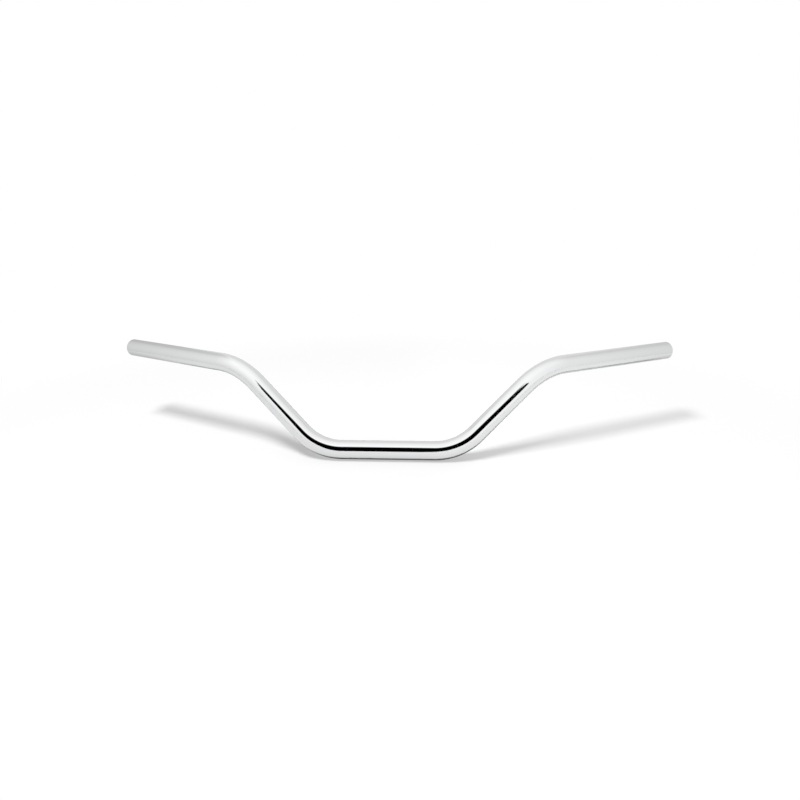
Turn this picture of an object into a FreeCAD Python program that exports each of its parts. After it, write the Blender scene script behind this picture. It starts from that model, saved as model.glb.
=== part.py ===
import FreeCAD, Part
import math
import os

from FreeCAD import Vector

# Motorcycle handlebar: one steel tube, bent four times and open at both ends.
# The origin is the middle of the clamp section, on the tube's axis.
# +X runs along the clamp section to the rider's left, +Y points back to the rider, +Z is up.
# Lengths are in millimetres and angles in degrees.

# Tube
TUBE_DIAMETER = 22.2
WALL = 2.0

# Runs of the tube's axis, from the middle outwards and alike on both sides.
# A rise angle is measured up from the level, a sweep angle back from the clamp section.
CLAMP_LENGTH = 107.0
LOWER_BEND_RADIUS = 68.0
LEG_LENGTH = 82.0
LEG_RISE_ANGLE = 38.5
LEG_SWEEP_ANGLE = 26.0
UPPER_BEND_RADIUS = 90.0
GRIP_LENGTH = 165.0
GRIP_SWEEP_ANGLE = 27.0

# Rims of the open ends
RIM_ROUND = 1.0
BORE_CHAMFER = 0.3

outer_radius = TUBE_DIAMETER / 2
bore_radius = outer_radius - WALL

# However thin the wall is, a flat ring stays between the round and the chamfer.
rim_round = min(RIM_ROUND, 3 * WALL / 4)
bore_chamfer = min(BORE_CHAMFER, WALL / 5)

MIDDLE = Vector(0, 0, 0)
SIDEWAYS = Vector(1, 0, 0)


def heading(rise_angle, sweep_angle):
    """Unit vector that points outwards, tilted up and swept back by the two angles."""
    rise = math.radians(rise_angle)
    sweep = math.radians(sweep_angle)
    level = math.cos(rise)
    return Vector(level * math.cos(sweep), level * math.sin(sweep), math.sin(rise))


def straight(start, along, length):
    """A straight run of the axis, and the point where it ends."""
    end = start + along * length
    return Part.LineSegment(start, end).toShape(), end


def bend(start, before, after, radius):
    """An arc that turns the axis from one heading to another, and the point where it ends."""
    turn = before.getAngle(after)
    inward = after - before * math.cos(turn)
    inward.normalize()
    centre = start + inward * radius

    def on_arc(angle):
        return centre + (before * math.sin(angle) - inward * math.cos(angle)) * radius

    end = on_arc(turn)
    return Part.Arc(start, on_arc(turn / 2), end).toShape(), end


def half_axis():
    """Axis of the +X half, from the middle of the bar to its open end."""
    leg_heading = heading(LEG_RISE_ANGLE, LEG_SWEEP_ANGLE)
    grip_heading = heading(0, GRIP_SWEEP_ANGLE)
    clamp, clamp_end = straight(MIDDLE, SIDEWAYS, CLAMP_LENGTH / 2)
    lower_bend, leg_start = bend(clamp_end, SIDEWAYS, leg_heading, LOWER_BEND_RADIUS)
    leg, leg_end = straight(leg_start, leg_heading, LEG_LENGTH)
    upper_bend, grip_start = bend(leg_end, leg_heading, grip_heading, UPPER_BEND_RADIUS)
    grip = straight(grip_start, grip_heading, GRIP_LENGTH)[0]
    return Part.Wire([clamp, lower_bend, leg, upper_bend, grip])


def swept_disc(axis, radius):
    """A round bar of the given radius along an axis that starts at the middle."""
    disc = Part.Face(Part.Wire(Part.makeCircle(radius, MIDDLE, SIDEWAYS)))
    return axis.makePipe(disc)


def rim_edge(tube, pick):
    """The longest or the shortest edge (pick is max or min) of the flat ring at the open end."""
    ring = max(tube.Faces, key=lambda face: face.CenterOfMass.x)
    return pick(ring.Edges, key=lambda edge: edge.Length)


def half_tube():
    """The +X half of the bar, its rim rounded on the outside and chamfered at the bore."""
    axis = half_axis()
    tube = swept_disc(axis, outer_radius).cut(swept_disc(axis, bore_radius))
    tube = tube.makeFillet(rim_round, [rim_edge(tube, max)])
    return tube.makeChamfer(bore_chamfer, [rim_edge(tube, min)])


def handlebar():
    """Both halves as one piece, with no seam across the clamp section."""
    half = half_tube()
    other_half = half.mirror(MIDDLE, SIDEWAYS)
    return half.fuse(other_half).removeSplitter()


os.makedirs("parts", exist_ok=True)
handlebar().exportStep("parts/handlebar.step")
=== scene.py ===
import math

import bmesh
import bpy
from mathutils import Matrix, Vector


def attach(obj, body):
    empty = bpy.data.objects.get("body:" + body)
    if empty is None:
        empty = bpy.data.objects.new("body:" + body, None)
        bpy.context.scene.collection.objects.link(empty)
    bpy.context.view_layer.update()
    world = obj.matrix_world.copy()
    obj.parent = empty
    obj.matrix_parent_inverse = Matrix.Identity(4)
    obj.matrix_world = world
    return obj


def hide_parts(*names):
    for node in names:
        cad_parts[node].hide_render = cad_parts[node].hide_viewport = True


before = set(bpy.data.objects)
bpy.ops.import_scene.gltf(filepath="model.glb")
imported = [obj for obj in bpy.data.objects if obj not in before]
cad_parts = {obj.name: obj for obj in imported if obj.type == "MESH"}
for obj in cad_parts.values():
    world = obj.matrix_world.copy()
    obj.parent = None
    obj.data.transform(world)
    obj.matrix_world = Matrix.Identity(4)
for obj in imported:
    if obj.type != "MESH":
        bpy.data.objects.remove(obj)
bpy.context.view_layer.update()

# Motorcycle handlebar: one chrome-plated steel tube, bent four times and open at both ends.
# Lengths are in metres and angles in degrees.

# Tube
TUBE_RADIUS = 0.0111
WALL = 0.002
BORE_RADIUS = TUBE_RADIUS - WALL

# Runs of the tube's axis, from the middle outwards and alike on both sides
CLAMP_LENGTH = 0.107
LOWER_BEND_RADIUS = 0.068
LEG_LENGTH = 0.082
LEG_RISE_ANGLE = 38.5
LEG_SWEEP_ANGLE = 26.0
UPPER_BEND_RADIUS = 0.090
GRIP_LENGTH = 0.165
GRIP_SWEEP_ANGLE = 27.0

# Rims of the open ends
RIM_ROUND = 0.001
BORE_CHAMFER = 0.0003

# Fineness of the mesh
SEGMENTS = 96
RING_SPACING = 0.005
BEND_STEP = 1.0
RIM_STEPS = 8

# Order of the two materials on the tube
PLATED = 0
UNPLATED = 1

# Part of a noise texture's range that is spread over the whole range of gloss
NOISE_LOW = 0.3
NOISE_HIGH = 0.7

# Chrome: a haze, polishing lines that are long along the tube and fine around it, and slow waves
CHROME_DARK = (0.75, 0.755, 0.76, 1.0)
CHROME_LIGHT = (0.78, 0.785, 0.79, 1.0)
CHROME_SHINIEST = 0.035
CHROME_DULLEST = 0.075
HAZE_SCALE = 45.0
HAZE_DETAIL = 5.0
HAZE_ROUGHNESS = 0.6
POLISH_STRETCH = (60.0, 4000.0, 1.0)
POLISH_DETAIL = 3.0
POLISH_DEPTH = 1.0e-7
WAVE_SCALE = 32.0
WAVE_DETAIL = 1.0
WAVE_DEPTH = 1.2e-5

# Bare steel: stains, and streaks along the bore
STEEL_DARK = (0.44, 0.43, 0.42, 1.0)
STEEL_LIGHT = (0.60, 0.595, 0.59, 1.0)
STEEL_METALLIC = 0.9
STEEL_SHINIEST = 0.38
STEEL_DULLEST = 0.58
STAIN_SCALE = 60.0
STAIN_DETAIL = 5.0
STREAK_STRETCH = (25.0, 900.0, 1.0)
STREAK_DETAIL = 4.0
STREAK_DEPTH = 4.0e-6

# Camera, at the photograph's place and angle
IMAGE_SIDE = 800
FOCAL_PIXELS = 593.675
SENSOR_MM = 36.0
NEAREST_SEEN = 0.01
CAMERA_DISTANCE = 0.6924
CAMERA_ELEVATION = 23.083
CAMERA_SIDEWAYS = 0.0462
CAMERA_YAW = -2.88
CAMERA_PITCH = 18.217
CAMERA_ROLL = -0.357

# Floor: its matt share takes the shadow; its glow is painted light for the camera alone and keeps the
# shadow pale.
# Both differ on the left, on the right and in the middle round the clamp section, so the shadow is painted
# paler on the right and round the clamp.
# Far from the bar the floor turns plain white.
WHITE = (1.0, 1.0, 1.0, 1.0)
FLOOR_HALF = 12.0
FLOOR_MATT_LEFT = 0.72
FLOOR_MATT_RIGHT = 0.56
FLOOR_MATT_MIDDLE = 0.50
FLOOR_GLOW_LEFT = 0.305
FLOOR_GLOW_RIGHT = 0.48
FLOOR_GLOW_MIDDLE = 0.505
FLOOR_MIDDLE_WITHIN = 0.06
FLOOR_SIDES_BEYOND = 0.12
FLOOR_RIGHT_FROM = -0.05
FLOOR_RIGHT_FULL = 0.12
FLOOR_PLAIN_WITHIN = 0.42
FLOOR_WHITE_BEYOND = 0.75

# Light on the floor
SKY_LEVEL = 0.30
LAMP_LEVEL = 0.66
LAMP_PLACE = Vector((-0.50, -0.385, 1.5))
LAMP_AIM = Vector((0.25, 0.15, 0.0))
LAMP_WIDTH = 0.30
LAMP_DEPTH = 0.55

# Light that has scattered off a matt surface at least once has a depth above this.
UNSCATTERED_BELOW = 0.5

# The floor's painted reflection in the chrome: painted lighter towards the right and darker behind the bar
# and at the side cards
MIRRORED_LEFT = 0.94
MIRRORED_RIGHT = 1.07
MIRRORED_REACH = 0.35
MIRRORED_BEHIND = 0.65
BEHIND_FROM = 0.08
BEHIND_FULL = 0.21
MIRRORED_ASIDE = 0.90
ASIDE_FROM = 0.36
MIRRORED_FAR = 0.95

# The room as the chrome mirrors it: pale, with a wide glow up on the left and a small one low on the right.
# Azimuths are counted from the front towards +X.
ROOM_LEVEL = 0.88
HIGH_GLOW = 0.41
HIGH_GLOW_AZIMUTH = -28.0
HIGH_GLOW_ELEVATION = 33.0
HIGH_GLOW_POWER = 0.7
HIGH_GLOW_FROM = -0.5
HIGH_GLOW_FULL = 1.04
LOW_GLOW = 0.25
LOW_GLOW_AZIMUTH = 40.0
LOW_GLOW_ELEVATION = -10.0
LOW_GLOW_POWER = 6.0

# A dark card just behind the camera, with the place across and the height of each corner
FRONT_CARD_PLACE = -0.74
FRONT_CARD_LEVEL = 0.0
FRONT_CARD_FADE = 0.25
FRONT_CARD_CORNERS = (
    (-0.15, 0.045),
    (0.03, 0.055),
    (0.09, 0.14),
    (0.30, 0.19),
    (0.55, 0.42),
    (0.54, 0.53),
    (0.18, 0.91),
    (0.06, 1.24),
    (-0.26, 1.24),
    (-0.30, 1.00),
    (-0.495, 0.63),
    (-0.405, 0.30),
    (-0.27, 0.09),
)

# Upright cards beside the two grips, shaded from front to back and from top to bottom
SIDE_CARD_AWAY = 0.60
SIDE_CARD_FRONT = -0.30
SIDE_CARD_BACK = 0.90
SIDE_CARD_TOP = 1.08
SIDE_CARD_TOP_FADE = 0.20
SIDE_CARD_FRONT_FADE = 0.25
SIDE_CARD_DARKEST = 0.58
LEFT_CARD_LEVELS = (1.11, 0.46)
LEFT_CARD_RISE = 0.49
RIGHT_CARD_LEVELS = (1.07, 0.63)
RIGHT_CARD_RISE = 0.27

# A low grey card far behind, which draws the horizon
BACK_CARD_PLACE = 3.0
BACK_CARD_HALF = 4.0
BACK_CARD_TOP = 0.50
BACK_CARD_FADE = 0.5
BACK_CARD_LEVEL = 0.35


def heading(rise_angle, sweep_angle):
    """Unit vector that points outwards, tilted up and swept back by the two angles."""
    rise = math.radians(rise_angle)
    sweep = math.radians(sweep_angle)
    level = math.cos(rise)
    return Vector((level * math.cos(sweep), level * math.sin(sweep), math.sin(rise)))


def straight(start, along, length):
    """Stations, each a point and a heading, along a straight run, without its first point."""
    count = math.ceil(length / RING_SPACING)
    return [(start + along * (length * i / count), along) for i in range(1, count + 1)]


def bend(start, before, after, radius):
    """Stations along an arc that turns the axis from one heading to another, without its first point."""
    turn = before.angle(after)
    inward = (after - before * math.cos(turn)).normalized()
    centre = start + inward * radius
    count = math.ceil(math.degrees(turn) / BEND_STEP)
    stations = []
    for i in range(1, count + 1):
        angle = turn * i / count
        outward = before * math.sin(angle) - inward * math.cos(angle)
        along = before * math.cos(angle) + inward * math.sin(angle)
        stations.append((centre + outward * radius, along))
    return stations


def half_axis():
    """Stations of the +X half, from the middle of the bar to its open end."""
    sideways = Vector((1, 0, 0))
    leg = heading(LEG_RISE_ANGLE, LEG_SWEEP_ANGLE)
    grip = heading(0, GRIP_SWEEP_ANGLE)
    stations = [(Vector((0, 0, 0)), sideways)]
    stations += straight(stations[-1][0], sideways, CLAMP_LENGTH / 2)
    stations += bend(stations[-1][0], sideways, leg, LOWER_BEND_RADIUS)
    stations += straight(stations[-1][0], leg, LEG_LENGTH)
    stations += bend(stations[-1][0], leg, grip, UPPER_BEND_RADIUS)
    stations += straight(stations[-1][0], grip, GRIP_LENGTH)
    return stations


def with_up(stations):
    """The stations with a vector square to each heading, carried along the axis without twist."""
    up = Vector((0, 0, 1))
    before = stations[0][1]
    framed = []
    for point, along in stations:
        up = before.rotation_difference(along) @ up
        before = along
        framed.append((point, along, up))
    return framed


def mirrored(station):
    """The same station on the -X half, still heading towards +X."""
    point, along, up = station
    return (
        Vector((-point.x, point.y, point.z)),
        Vector((along.x, -along.y, -along.z)),
        Vector((-up.x, up.y, up.z)),
    )


def whole_axis():
    """Stations of the whole bar, from its -X end to its +X end."""
    half = with_up(half_axis())
    return [mirrored(station) for station in reversed(half[1:])] + half


def rim_profile():
    """Radius and distance past the open end of each ring of a rim, from the outer wall to the bore."""
    profile = []
    for i in range(RIM_STEPS + 1):
        angle = math.pi / 2 * i / RIM_STEPS
        radius = TUBE_RADIUS - RIM_ROUND + RIM_ROUND * math.cos(angle)
        profile.append((radius, RIM_ROUND * math.sin(angle) - RIM_ROUND))
    profile.append((BORE_RADIUS + BORE_CHAMFER, 0.0))
    profile.append((BORE_RADIUS, -BORE_CHAMFER))
    return profile


def shifted(station, distance):
    """The station moved along its heading."""
    point, along, up = station
    return point + along * distance, along, up


def tube_rings():
    """Rings of the tube's skin, each a station and a radius: outer wall, +X rim, bore, -X rim."""
    axis = whole_axis()
    inner = axis[1:-1]
    rings = [(station, TUBE_RADIUS) for station in inner]
    for radius, past in rim_profile():
        rings.append((shifted(axis[-1], past), radius))
    rings += [(station, BORE_RADIUS) for station in reversed(inner)]
    for radius, past in reversed(rim_profile()):
        rings.append((shifted(axis[0], -past), radius))
    return rings


def ring_points(station, radius):
    """Points round one ring, from the top and about the heading."""
    point, along, up = station
    side = along.cross(up)
    for j in range(SEGMENTS):
        angle = 2 * math.pi * j / SEGMENTS
        yield point + (up * math.cos(angle) + side * math.sin(angle)) * radius


def mark_corners(bm, rows, rings):
    """Keeps both edges of each chamfer crisp."""
    end = half_axis()[-1][0]
    for row, (station, radius) in zip(rows, rings):
        inside_mouth = abs(station[0].x) <= end.x - 2 * BORE_CHAMFER
        if inside_mouth or radius > BORE_RADIUS + BORE_CHAMFER:
            continue
        for j, vertex in enumerate(row):
            bm.edges.get((vertex, row[(j + 1) % SEGMENTS])).smooth = False


def tube_mesh(name):
    """The tube's closed skin, with its length and girth in metres as a UV map."""
    rings = tube_rings()
    mesh = bpy.data.meshes.new(name)
    bm = bmesh.new()
    uv = bm.loops.layers.uv.new("length_and_girth")
    rows = [[bm.verts.new(p) for p in ring_points(*ring)] for ring in rings]
    girth = 2 * math.pi * TUBE_RADIUS / SEGMENTS
    run = 0.0
    for i, row in enumerate(rows):
        following = rows[(i + 1) % len(rows)]
        in_bore = rings[i][1] == BORE_RADIUS and rings[(i + 1) % len(rings)][1] == BORE_RADIUS
        step = (following[0].co - row[0].co).length
        for j in range(SEGMENTS):
            k = (j + 1) % SEGMENTS
            face = bm.faces.new((row[j], row[k], following[k], following[j]))
            face.smooth = True
            face.material_index = UNPLATED if in_bore else PLATED
            corners = ((run, j), (run, j + 1), (run + step, j + 1), (run + step, j))
            for loop, (along, around) in zip(face.loops, corners):
                loop[uv].uv = (along, around * girth)
        run += step
    mark_corners(bm, rows, rings)
    bm.to_mesh(mesh)
    bm.free()
    return mesh


def feed(tree, socket, value):
    """Links a socket to another one, or sets a plain value on it."""
    if isinstance(value, bpy.types.NodeSocket):
        tree.links.new(value, socket)
    else:
        socket.default_value = value


def add_node(tree, kind, **inputs):
    """A new node with its sockets fed by name."""
    node = tree.nodes.new(kind)
    for name, value in inputs.items():
        feed(tree, node.inputs[name.replace("_", " ")], value)
    return node


def new_material(name):
    """An empty node material and its tree."""
    material = bpy.data.materials.new(name)
    material.use_nodes = True
    material.node_tree.nodes.clear()
    return material, material.node_tree


def finish_material(tree, shader):
    """Links a shader to the material's output."""
    add_node(tree, "ShaderNodeOutputMaterial", Surface=shader)


def coordinates(tree, kind):
    """Texture coordinates of the given kind."""
    return tree.nodes.new("ShaderNodeTexCoord").outputs[kind]


def noise(tree, place, scale, detail, roughness=0.5):
    """Value of a noise texture."""
    node = add_node(
        tree, "ShaderNodeTexNoise", Vector=place, Scale=scale, Detail=detail, Roughness=roughness
    )
    return node.outputs["Fac"]


def stretched(tree, place, scale):
    """Coordinates scaled by a different factor on each axis."""
    node = add_node(tree, "ShaderNodeMapping", Vector=place, Scale=scale)
    return node.outputs["Vector"]


def remapped(tree, value, low, high, to_low, to_high, smooth=False):
    """A value moved from one range to another and held inside it."""
    node = tree.nodes.new("ShaderNodeMapRange")
    node.interpolation_type = "SMOOTHSTEP" if smooth else "LINEAR"
    names = ("Value", "From Min", "From Max", "To Min", "To Max")
    for name, given in zip(names, (value, low, high, to_low, to_high)):
        feed(tree, node.inputs[name], given)
    return node.outputs["Result"]


def ramp(tree, value, low, high):
    """A smooth rise from 0 to 1 while a value goes from low to high."""
    return remapped(tree, value, low, high, 0.0, 1.0, smooth=True)


def arithmetic(tree, operation, first, second=0.0, clamp=False):
    """The result of an operation on one or two values, each a number or a socket."""
    node = tree.nodes.new("ShaderNodeMath")
    node.operation = operation
    node.use_clamp = clamp
    for socket, value in zip(node.inputs, (first, second)):
        feed(tree, socket, value)
    return node.outputs["Value"]


def product(tree, first, second):
    """Two values multiplied."""
    return arithmetic(tree, "MULTIPLY", first, second)


def blended(tree, factor, first, second):
    """A value between two, by a factor from 0 to 1."""
    node = tree.nodes.new("ShaderNodeMix")
    for name, value in (("Factor", factor), ("A", first), ("B", second)):
        feed(tree, node.inputs[name], value)
    return node.outputs["Result"]


def shade(tree, factor, dark, light):
    """A colour between two, by a factor from 0 to 1."""
    node = tree.nodes.new("ShaderNodeMix")
    node.data_type = "RGBA"
    for name, value in (("Factor", factor), ("A", dark), ("B", light)):
        feed(tree, node.inputs[name], value)
    return node.outputs["Result"]


def mixed(tree, factor, first, second):
    """A shader between two, by a factor from 0 to 1."""
    node = tree.nodes.new("ShaderNodeMixShader")
    for socket, value in zip(node.inputs, (factor, first, second)):
        feed(tree, socket, value)
    return node.outputs["Shader"]


def raised(tree, height, depth, under=None):
    """Normal of a bump of the given depth in metres, over another bump if there is one."""
    node = add_node(tree, "ShaderNodeBump", Strength=1.0, Distance=depth, Height=height)
    if under is not None:
        feed(tree, node.inputs["Normal"], under)
    return node.outputs["Normal"]


def emission(tree, level):
    """White light of the given level."""
    return add_node(tree, "ShaderNodeEmission", Color=WHITE, Strength=level).outputs["Emission"]


def metal(tree, colour, metallic, gloss, normal):
    """A metal surface."""
    node = add_node(
        tree,
        "ShaderNodeBsdfPrincipled",
        Base_Color=colour,
        Metallic=metallic,
        Roughness=gloss,
        Normal=normal,
    )
    return node.outputs["BSDF"]


def chrome_plate():
    """Polished chrome: a little haze, lengthwise polishing lines and the slight waviness of a bent tube."""
    material, tree = new_material("chrome_plate")
    place = coordinates(tree, "Object")
    skin = coordinates(tree, "UV")
    haze = noise(tree, place, HAZE_SCALE, HAZE_DETAIL, HAZE_ROUGHNESS)
    lines = noise(tree, stretched(tree, skin, POLISH_STRETCH), 1.0, POLISH_DETAIL)
    wave = noise(tree, place, WAVE_SCALE, WAVE_DETAIL)
    colour = shade(tree, haze, CHROME_DARK, CHROME_LIGHT)
    gloss = remapped(tree, haze, NOISE_LOW, NOISE_HIGH, CHROME_SHINIEST, CHROME_DULLEST)
    normal = raised(tree, lines, POLISH_DEPTH, raised(tree, wave, WAVE_DEPTH))
    finish_material(tree, metal(tree, colour, 1.0, gloss, normal))
    return material


def bare_steel():
    """The unplated bore: dull drawn steel, streaked along its length."""
    material, tree = new_material("bare_steel")
    place = coordinates(tree, "Object")
    skin = coordinates(tree, "UV")
    streaks = noise(tree, stretched(tree, skin, STREAK_STRETCH), 1.0, STREAK_DETAIL)
    stain = noise(tree, place, STAIN_SCALE, STAIN_DETAIL)
    colour = shade(tree, stain, STEEL_DARK, STEEL_LIGHT)
    gloss = remapped(tree, streaks, NOISE_LOW, NOISE_HIGH, STEEL_SHINIEST, STEEL_DULLEST)
    normal = raised(tree, streaks, STREAK_DEPTH)
    finish_material(tree, metal(tree, colour, STEEL_METALLIC, gloss, normal))
    return material


def light_path(tree, name):
    """A light path value: what kind of ray is looking."""
    return tree.nodes.new("ShaderNodeLightPath").outputs[name]


def seen(tree):
    """1 for what the camera sees, directly or in metal and glass, and 0 for light on its way elsewhere."""
    total = light_path(tree, "Is Camera Ray")
    for name in ("Is Glossy Ray", "Is Transmission Ray"):
        total = arithmetic(tree, "ADD", total, light_path(tree, name), clamp=True)
    unscattered = arithmetic(tree, "LESS_THAN", light_path(tree, "Diffuse Depth"), UNSCATTERED_BELOW)
    return product(tree, total, unscattered)


def from_front(azimuth, elevation):
    """Unit vector towards a place at the given azimuth and elevation."""
    turn = math.radians(azimuth)
    lift = math.radians(elevation)
    level = math.cos(lift)
    return Vector((math.sin(turn) * level, -math.cos(turn) * level, math.sin(lift)))


def lobe(tree, ray, azimuth, elevation, power):
    """1 towards a place in the room, falling to 0 at a right angle from it."""
    towards = tree.nodes.new("ShaderNodeVectorMath")
    towards.operation = "DOT_PRODUCT"
    feed(tree, towards.inputs[0], ray)
    feed(tree, towards.inputs[1], from_front(azimuth, elevation))
    near = arithmetic(tree, "MAXIMUM", towards.outputs["Value"], 0.0)
    return arithmetic(tree, "POWER", near, power)


def room_level(tree):
    """Level of the room in each direction, as the chrome mirrors it."""
    ray = coordinates(tree, "Generated")
    split = add_node(tree, "ShaderNodeSeparateXYZ", Vector=ray)
    upward = split.outputs["Z"]
    height = remapped(tree, upward, HIGH_GLOW_FROM, HIGH_GLOW_FULL, 0.0, HIGH_GLOW, smooth=True)
    high = lobe(tree, ray, HIGH_GLOW_AZIMUTH, HIGH_GLOW_ELEVATION, HIGH_GLOW_POWER)
    low = lobe(tree, ray, LOW_GLOW_AZIMUTH, LOW_GLOW_ELEVATION, LOW_GLOW_POWER)
    level = arithmetic(tree, "ADD", product(tree, high, height), ROOM_LEVEL)
    return arithmetic(tree, "ADD", level, product(tree, low, LOW_GLOW))


def distance_from_middle(tree, place):
    """How far a place is from the middle of the floor."""
    length = tree.nodes.new("ShaderNodeVectorMath")
    length.operation = "LENGTH"
    feed(tree, length.inputs[0], place)
    return length.outputs["Value"]


def painted_reflection_across(tree, x):
    """The floor's painted reflection level in the chrome, lighter from left to right."""
    return remapped(
        tree, x, -MIRRORED_REACH, MIRRORED_REACH, MIRRORED_LEFT, MIRRORED_RIGHT, smooth=True
    )


def painted_reflection_tone(tree, x, y, across):
    """The floor's painted reflection tone near the bar: lighter towards the right, painted darker behind
    the bar and at the side cards. It is black for light that only goes on to a surface.
    """
    behind = remapped(tree, y, BEHIND_FROM, BEHIND_FULL, 1.0, MIRRORED_BEHIND, smooth=True)
    outwards = arithmetic(tree, "ABSOLUTE", x)
    aside = remapped(tree, outwards, ASIDE_FROM, SIDE_CARD_AWAY, 1.0, MIRRORED_ASIDE, smooth=True)
    tone = product(tree, product(tree, across, behind), aside)
    return product(tree, tone, seen(tree))


def zoned(tree, right, outer, left_value, right_value, middle_value):
    """A value that differs on the left, on the right and in the middle of the floor."""
    side_value = blended(tree, right, left_value, right_value)
    return blended(tree, outer, middle_value, side_value)


def near_floor(tree, direct, x, y, away, across):
    """The floor round the bar: matt under the shadow, with a painted glow for the camera that keeps the
    shadow pale.
    """
    right = ramp(tree, x, FLOOR_RIGHT_FROM, FLOOR_RIGHT_FULL)
    outer = ramp(tree, away, FLOOR_MIDDLE_WITHIN, FLOOR_SIDES_BEYOND)
    share = zoned(tree, right, outer, FLOOR_MATT_LEFT, FLOOR_MATT_RIGHT, FLOOR_MATT_MIDDLE)
    tone = painted_reflection_tone(tree, x, y, across)
    # For the chrome the floor takes its painted reflection tone in place of the matt share.
    colour = blended(tree, light_path(tree, "Is Glossy Ray"), share, tone)
    matt = add_node(tree, "ShaderNodeBsdfDiffuse", Color=colour)
    # Painted light: a glow for the camera alone, stronger on the right and round the clamp, so the shadow
    # there is paler.
    glow = zoned(tree, right, outer, FLOOR_GLOW_LEFT, FLOOR_GLOW_RIGHT, FLOOR_GLOW_MIDDLE)
    both = tree.nodes.new("ShaderNodeAddShader")
    feed(tree, both.inputs[0], matt.outputs["BSDF"])
    feed(tree, both.inputs[1], emission(tree, product(tree, direct, glow)))
    return both.outputs["Shader"]


def floor_white():
    """A pale matt floor that keeps the shadow near the bar and is plain white further off."""
    material, tree = new_material("floor_white")
    place = coordinates(tree, "Object")
    split = add_node(tree, "ShaderNodeSeparateXYZ", Vector=place)
    x = split.outputs["X"]
    y = split.outputs["Y"]
    away = distance_from_middle(tree, place)
    direct = light_path(tree, "Is Camera Ray")
    across = painted_reflection_across(tree, x)
    near = near_floor(tree, direct, x, y, away, across)
    # Far off the floor is plain white for the camera and a painted reflection level for the chrome.
    far_level = blended(tree, direct, product(tree, across, MIRRORED_FAR), 1.0)
    far = ramp(tree, away, FLOOR_PLAIN_WITHIN, FLOOR_WHITE_BEYOND)
    shown_far = product(tree, far, seen(tree))
    finish_material(tree, mixed(tree, shown_far, near, emission(tree, far_level)))
    return material


def card_face(name, shading):
    """A glowing card, clear in places. Its shading gives level and clearness from its own X, Y and Z."""
    material, tree = new_material(name)
    split = add_node(tree, "ShaderNodeSeparateXYZ", Vector=coordinates(tree, "Generated"))
    level, clearness = shading(tree, split.outputs)
    clear = tree.nodes.new("ShaderNodeBsdfTransparent").outputs["BSDF"]
    finish_material(tree, mixed(tree, clearness, emission(tree, level), clear))
    return material


def even_shading(level, top_fade):
    """One level all over, with a top edge that fades out over a share of the height."""

    def shading(tree, own):
        return level, ramp(tree, own["Z"], 1.0 - top_fade, 1.0)

    return shading


def side_shading(levels, rise):
    """A level that falls from front to back and rises to the top, with fading front and top edges."""

    def shading(tree, own):
        fall = remapped(tree, own["Y"], 0.0, SIDE_CARD_DARKEST, *levels)
        level = arithmetic(tree, "ADD", fall, product(tree, own["Z"], rise))
        front = remapped(tree, own["Y"], 0.0, SIDE_CARD_FRONT_FADE, 1.0, 0.0, smooth=True)
        top = ramp(tree, own["Z"], 1.0 - SIDE_CARD_TOP_FADE, 1.0)
        return level, arithmetic(tree, "MAXIMUM", front, top)

    return shading


def add_object(name, mesh, *materials):
    """A new object in the scene with its materials."""
    obj = bpy.data.objects.new(name, mesh)
    bpy.context.scene.collection.objects.link(obj)
    for material in materials:
        mesh.materials.append(material)
    return obj


def add_sheet(name, corners, material):
    """A flat stage piece with the given corners."""
    mesh = bpy.data.meshes.new(name)
    mesh.from_pydata(corners, [], [tuple(range(len(corners)))])
    sheet = add_object(name, mesh, material)
    return sheet


def add_card(name, corners, shading):
    """A card on the stage that shows in polished metal and nowhere else."""
    card = add_sheet(name, corners, card_face(name, shading))
    card.visible_camera = False
    card.visible_diffuse = False
    card.visible_shadow = False
    card.visible_transmission = False


def add_side_card(name, place, levels, rise):
    """An upright card beside a grip."""
    low = -TUBE_RADIUS
    corners = [
        (place, SIDE_CARD_FRONT, low),
        (place, SIDE_CARD_BACK, low),
        (place, SIDE_CARD_BACK, SIDE_CARD_TOP),
        (place, SIDE_CARD_FRONT, SIDE_CARD_TOP),
    ]
    add_card(name, corners, side_shading(levels, rise))


def build_bar():
    """The handlebar itself."""
    bar = add_object("handlebar_tube", tube_mesh("handlebar_tube"), chrome_plate(), bare_steel())
    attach(bar, "root")
    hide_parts("handlebar")


def build_stage():
    """The floor under the bar, and the cards that the chrome mirrors."""
    low = -TUBE_RADIUS
    reach = FLOOR_HALF
    corners = [(-reach, -reach, low), (reach, -reach, low), (reach, reach, low), (-reach, reach, low)]
    add_sheet("floor", corners, floor_white())
    corners = [(across, FRONT_CARD_PLACE, height) for across, height in FRONT_CARD_CORNERS]
    add_card("front_card", corners, even_shading(FRONT_CARD_LEVEL, FRONT_CARD_FADE))
    add_side_card("left_card", -SIDE_CARD_AWAY, LEFT_CARD_LEVELS, LEFT_CARD_RISE)
    add_side_card("right_card", SIDE_CARD_AWAY, RIGHT_CARD_LEVELS, RIGHT_CARD_RISE)
    half = BACK_CARD_HALF
    back = BACK_CARD_PLACE
    top = BACK_CARD_TOP
    corners = [(-half, back, low), (half, back, low), (half, back, top), (-half, back, top)]
    add_card("back_card", corners, even_shading(BACK_CARD_LEVEL, BACK_CARD_FADE))


def build_surround():
    """A white room for the camera, a shaded one for the chrome and a dim one that lights the floor."""
    world = bpy.data.worlds.new("surround")
    world.use_nodes = True
    world.cycles.sampling_method = "NONE"
    bpy.context.scene.world = world
    tree = world.node_tree
    tree.nodes.clear()
    shown = blended(tree, light_path(tree, "Is Camera Ray"), room_level(tree), 1.0)
    lighting = product(tree, light_path(tree, "Is Diffuse Ray"), SKY_LEVEL)
    level = arithmetic(tree, "ADD", lighting, product(tree, seen(tree), shown))
    background = add_node(tree, "ShaderNodeBackground", Color=WHITE, Strength=level)
    add_node(tree, "ShaderNodeOutputWorld", Surface=background.outputs["Background"])


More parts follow.
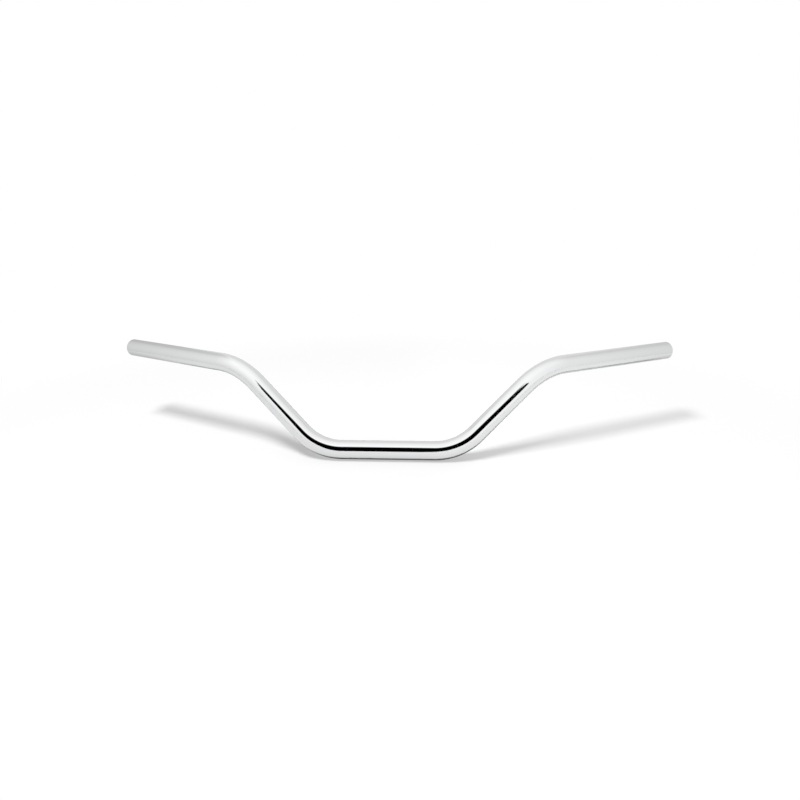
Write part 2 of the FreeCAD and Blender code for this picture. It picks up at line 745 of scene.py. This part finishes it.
def build_lamp():
    """One soft lamp from the upper left, as strong on the far side of the bar as on the near side."""
    data = bpy.data.lights.new("lamp", "AREA")
    data.shape = "RECTANGLE"
    data.size = LAMP_WIDTH
    data.size_y = LAMP_DEPTH
    # The beam comes down at a slant, so it is made stronger to reach its level on the floor.
    beam = LAMP_PLACE - LAMP_AIM
    data.energy = LAMP_LEVEL * math.pi**2 * beam.length / beam.z
    data.use_nodes = True
    tree = data.node_tree
    tree.nodes.clear()
    falloff = add_node(tree, "ShaderNodeLightFalloff", Strength=1.0)
    glow = emission(tree, falloff.outputs["Constant"])
    add_node(tree, "ShaderNodeOutputLight", Surface=glow)
    lamp = bpy.data.objects.new("lamp", data)
    across = Vector((0, 1, 0)).cross(beam).normalized()
    facing = Matrix((across, beam.cross(across).normalized(), beam.normalized())).transposed()
    lamp.matrix_world = Matrix.Translation(LAMP_PLACE) @ facing.to_4x4()
    lamp.visible_glossy = False
    bpy.context.scene.collection.objects.link(lamp)


def build_camera():
    """The camera in front of the bar, looking slightly down on it."""
    data = bpy.data.cameras.new("camera")
    data.sensor_width = SENSOR_MM
    data.lens = FOCAL_PIXELS / IMAGE_SIDE * SENSOR_MM
    data.clip_start = NEAREST_SEEN
    camera = bpy.data.objects.new("camera", data)
    elevation = math.radians(CAMERA_ELEVATION)
    in_front = CAMERA_DISTANCE * math.cos(elevation)
    above = CAMERA_DISTANCE * math.sin(elevation)
    place = Vector((CAMERA_SIDEWAYS, -in_front, above))
    turn = (
        Matrix.Rotation(-math.radians(CAMERA_YAW), 3, "Z")
        @ Matrix.Rotation(math.pi / 2 - math.radians(CAMERA_PITCH), 3, "X")
        @ Matrix.Rotation(math.radians(CAMERA_ROLL), 3, "Z")
    )
    camera.matrix_world = Matrix.Translation(place) @ turn.to_4x4()
    bpy.context.scene.collection.objects.link(camera)
    bpy.context.scene.camera = camera


build_bar()
build_stage()
build_surround()
build_lamp()
build_camera()
bpy.context.scene.view_settings.view_transform = "Standard"
